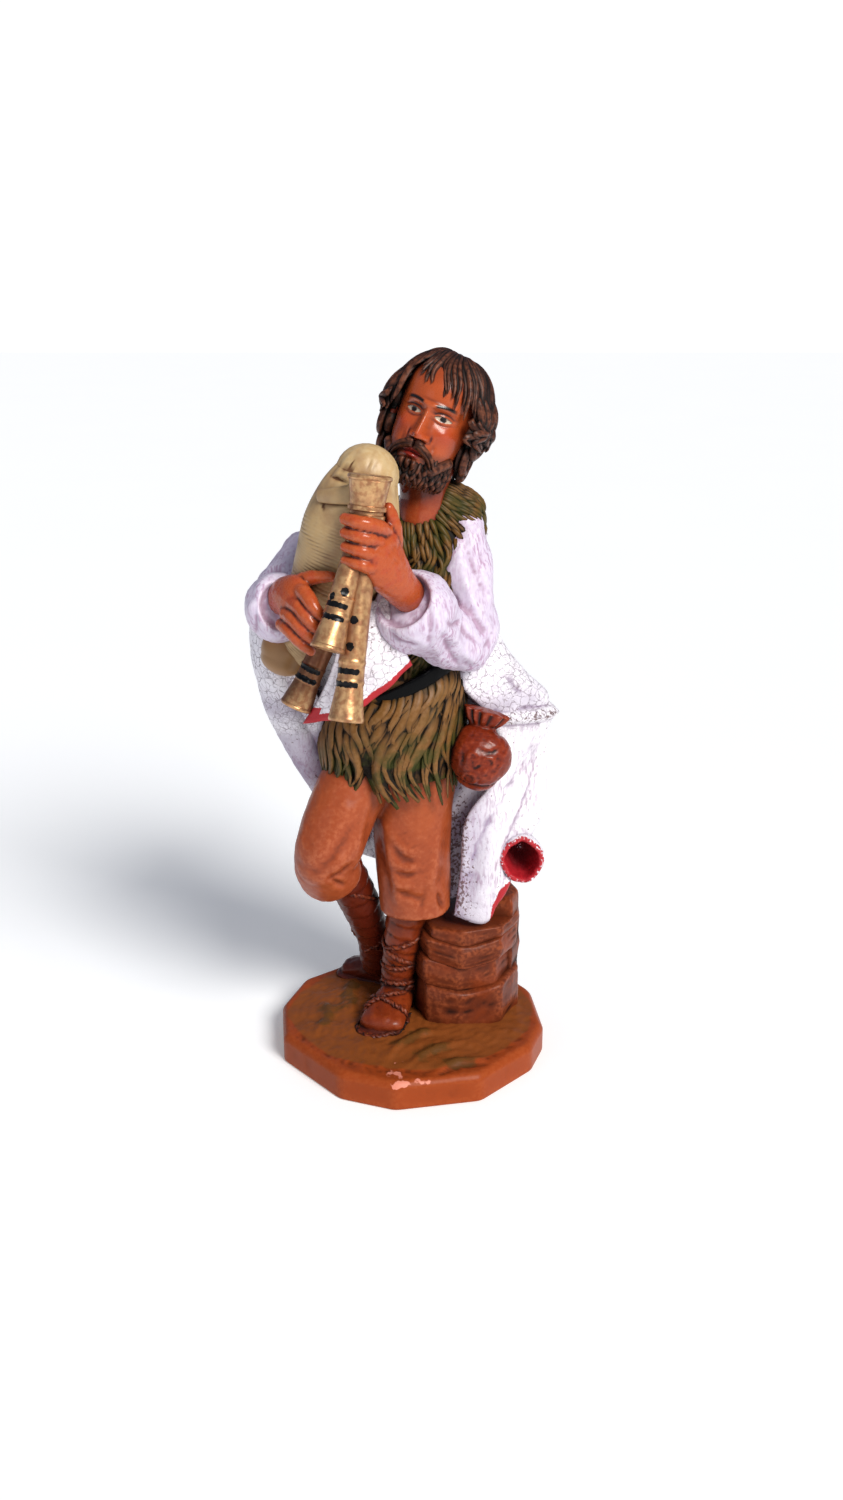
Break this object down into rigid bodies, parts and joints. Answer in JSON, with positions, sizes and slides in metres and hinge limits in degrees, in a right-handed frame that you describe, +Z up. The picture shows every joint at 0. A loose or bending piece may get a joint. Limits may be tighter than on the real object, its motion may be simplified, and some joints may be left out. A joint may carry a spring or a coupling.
{
  "type": "nativity shepherd figurine",
  "caption": "Painted nativity shepherd in a fleece vest and long white cape, playing an Italian bagpipe beside stacked stones on a low faceted base.",
  "frame": {"origin": "middle of the flat underside of the base", "axes": "+Z up, the shepherd faces -Y, his left side is +X"},
  "size_m": [0.0814, 0.0846, 0.1904],
  "materials": {
    "plastic": "hand-painted, satin with glossy skin and base"
  },
  "bodies": {
    "root": {"shepherd_figurine": "plastic"}
  },
  "joints": []
}
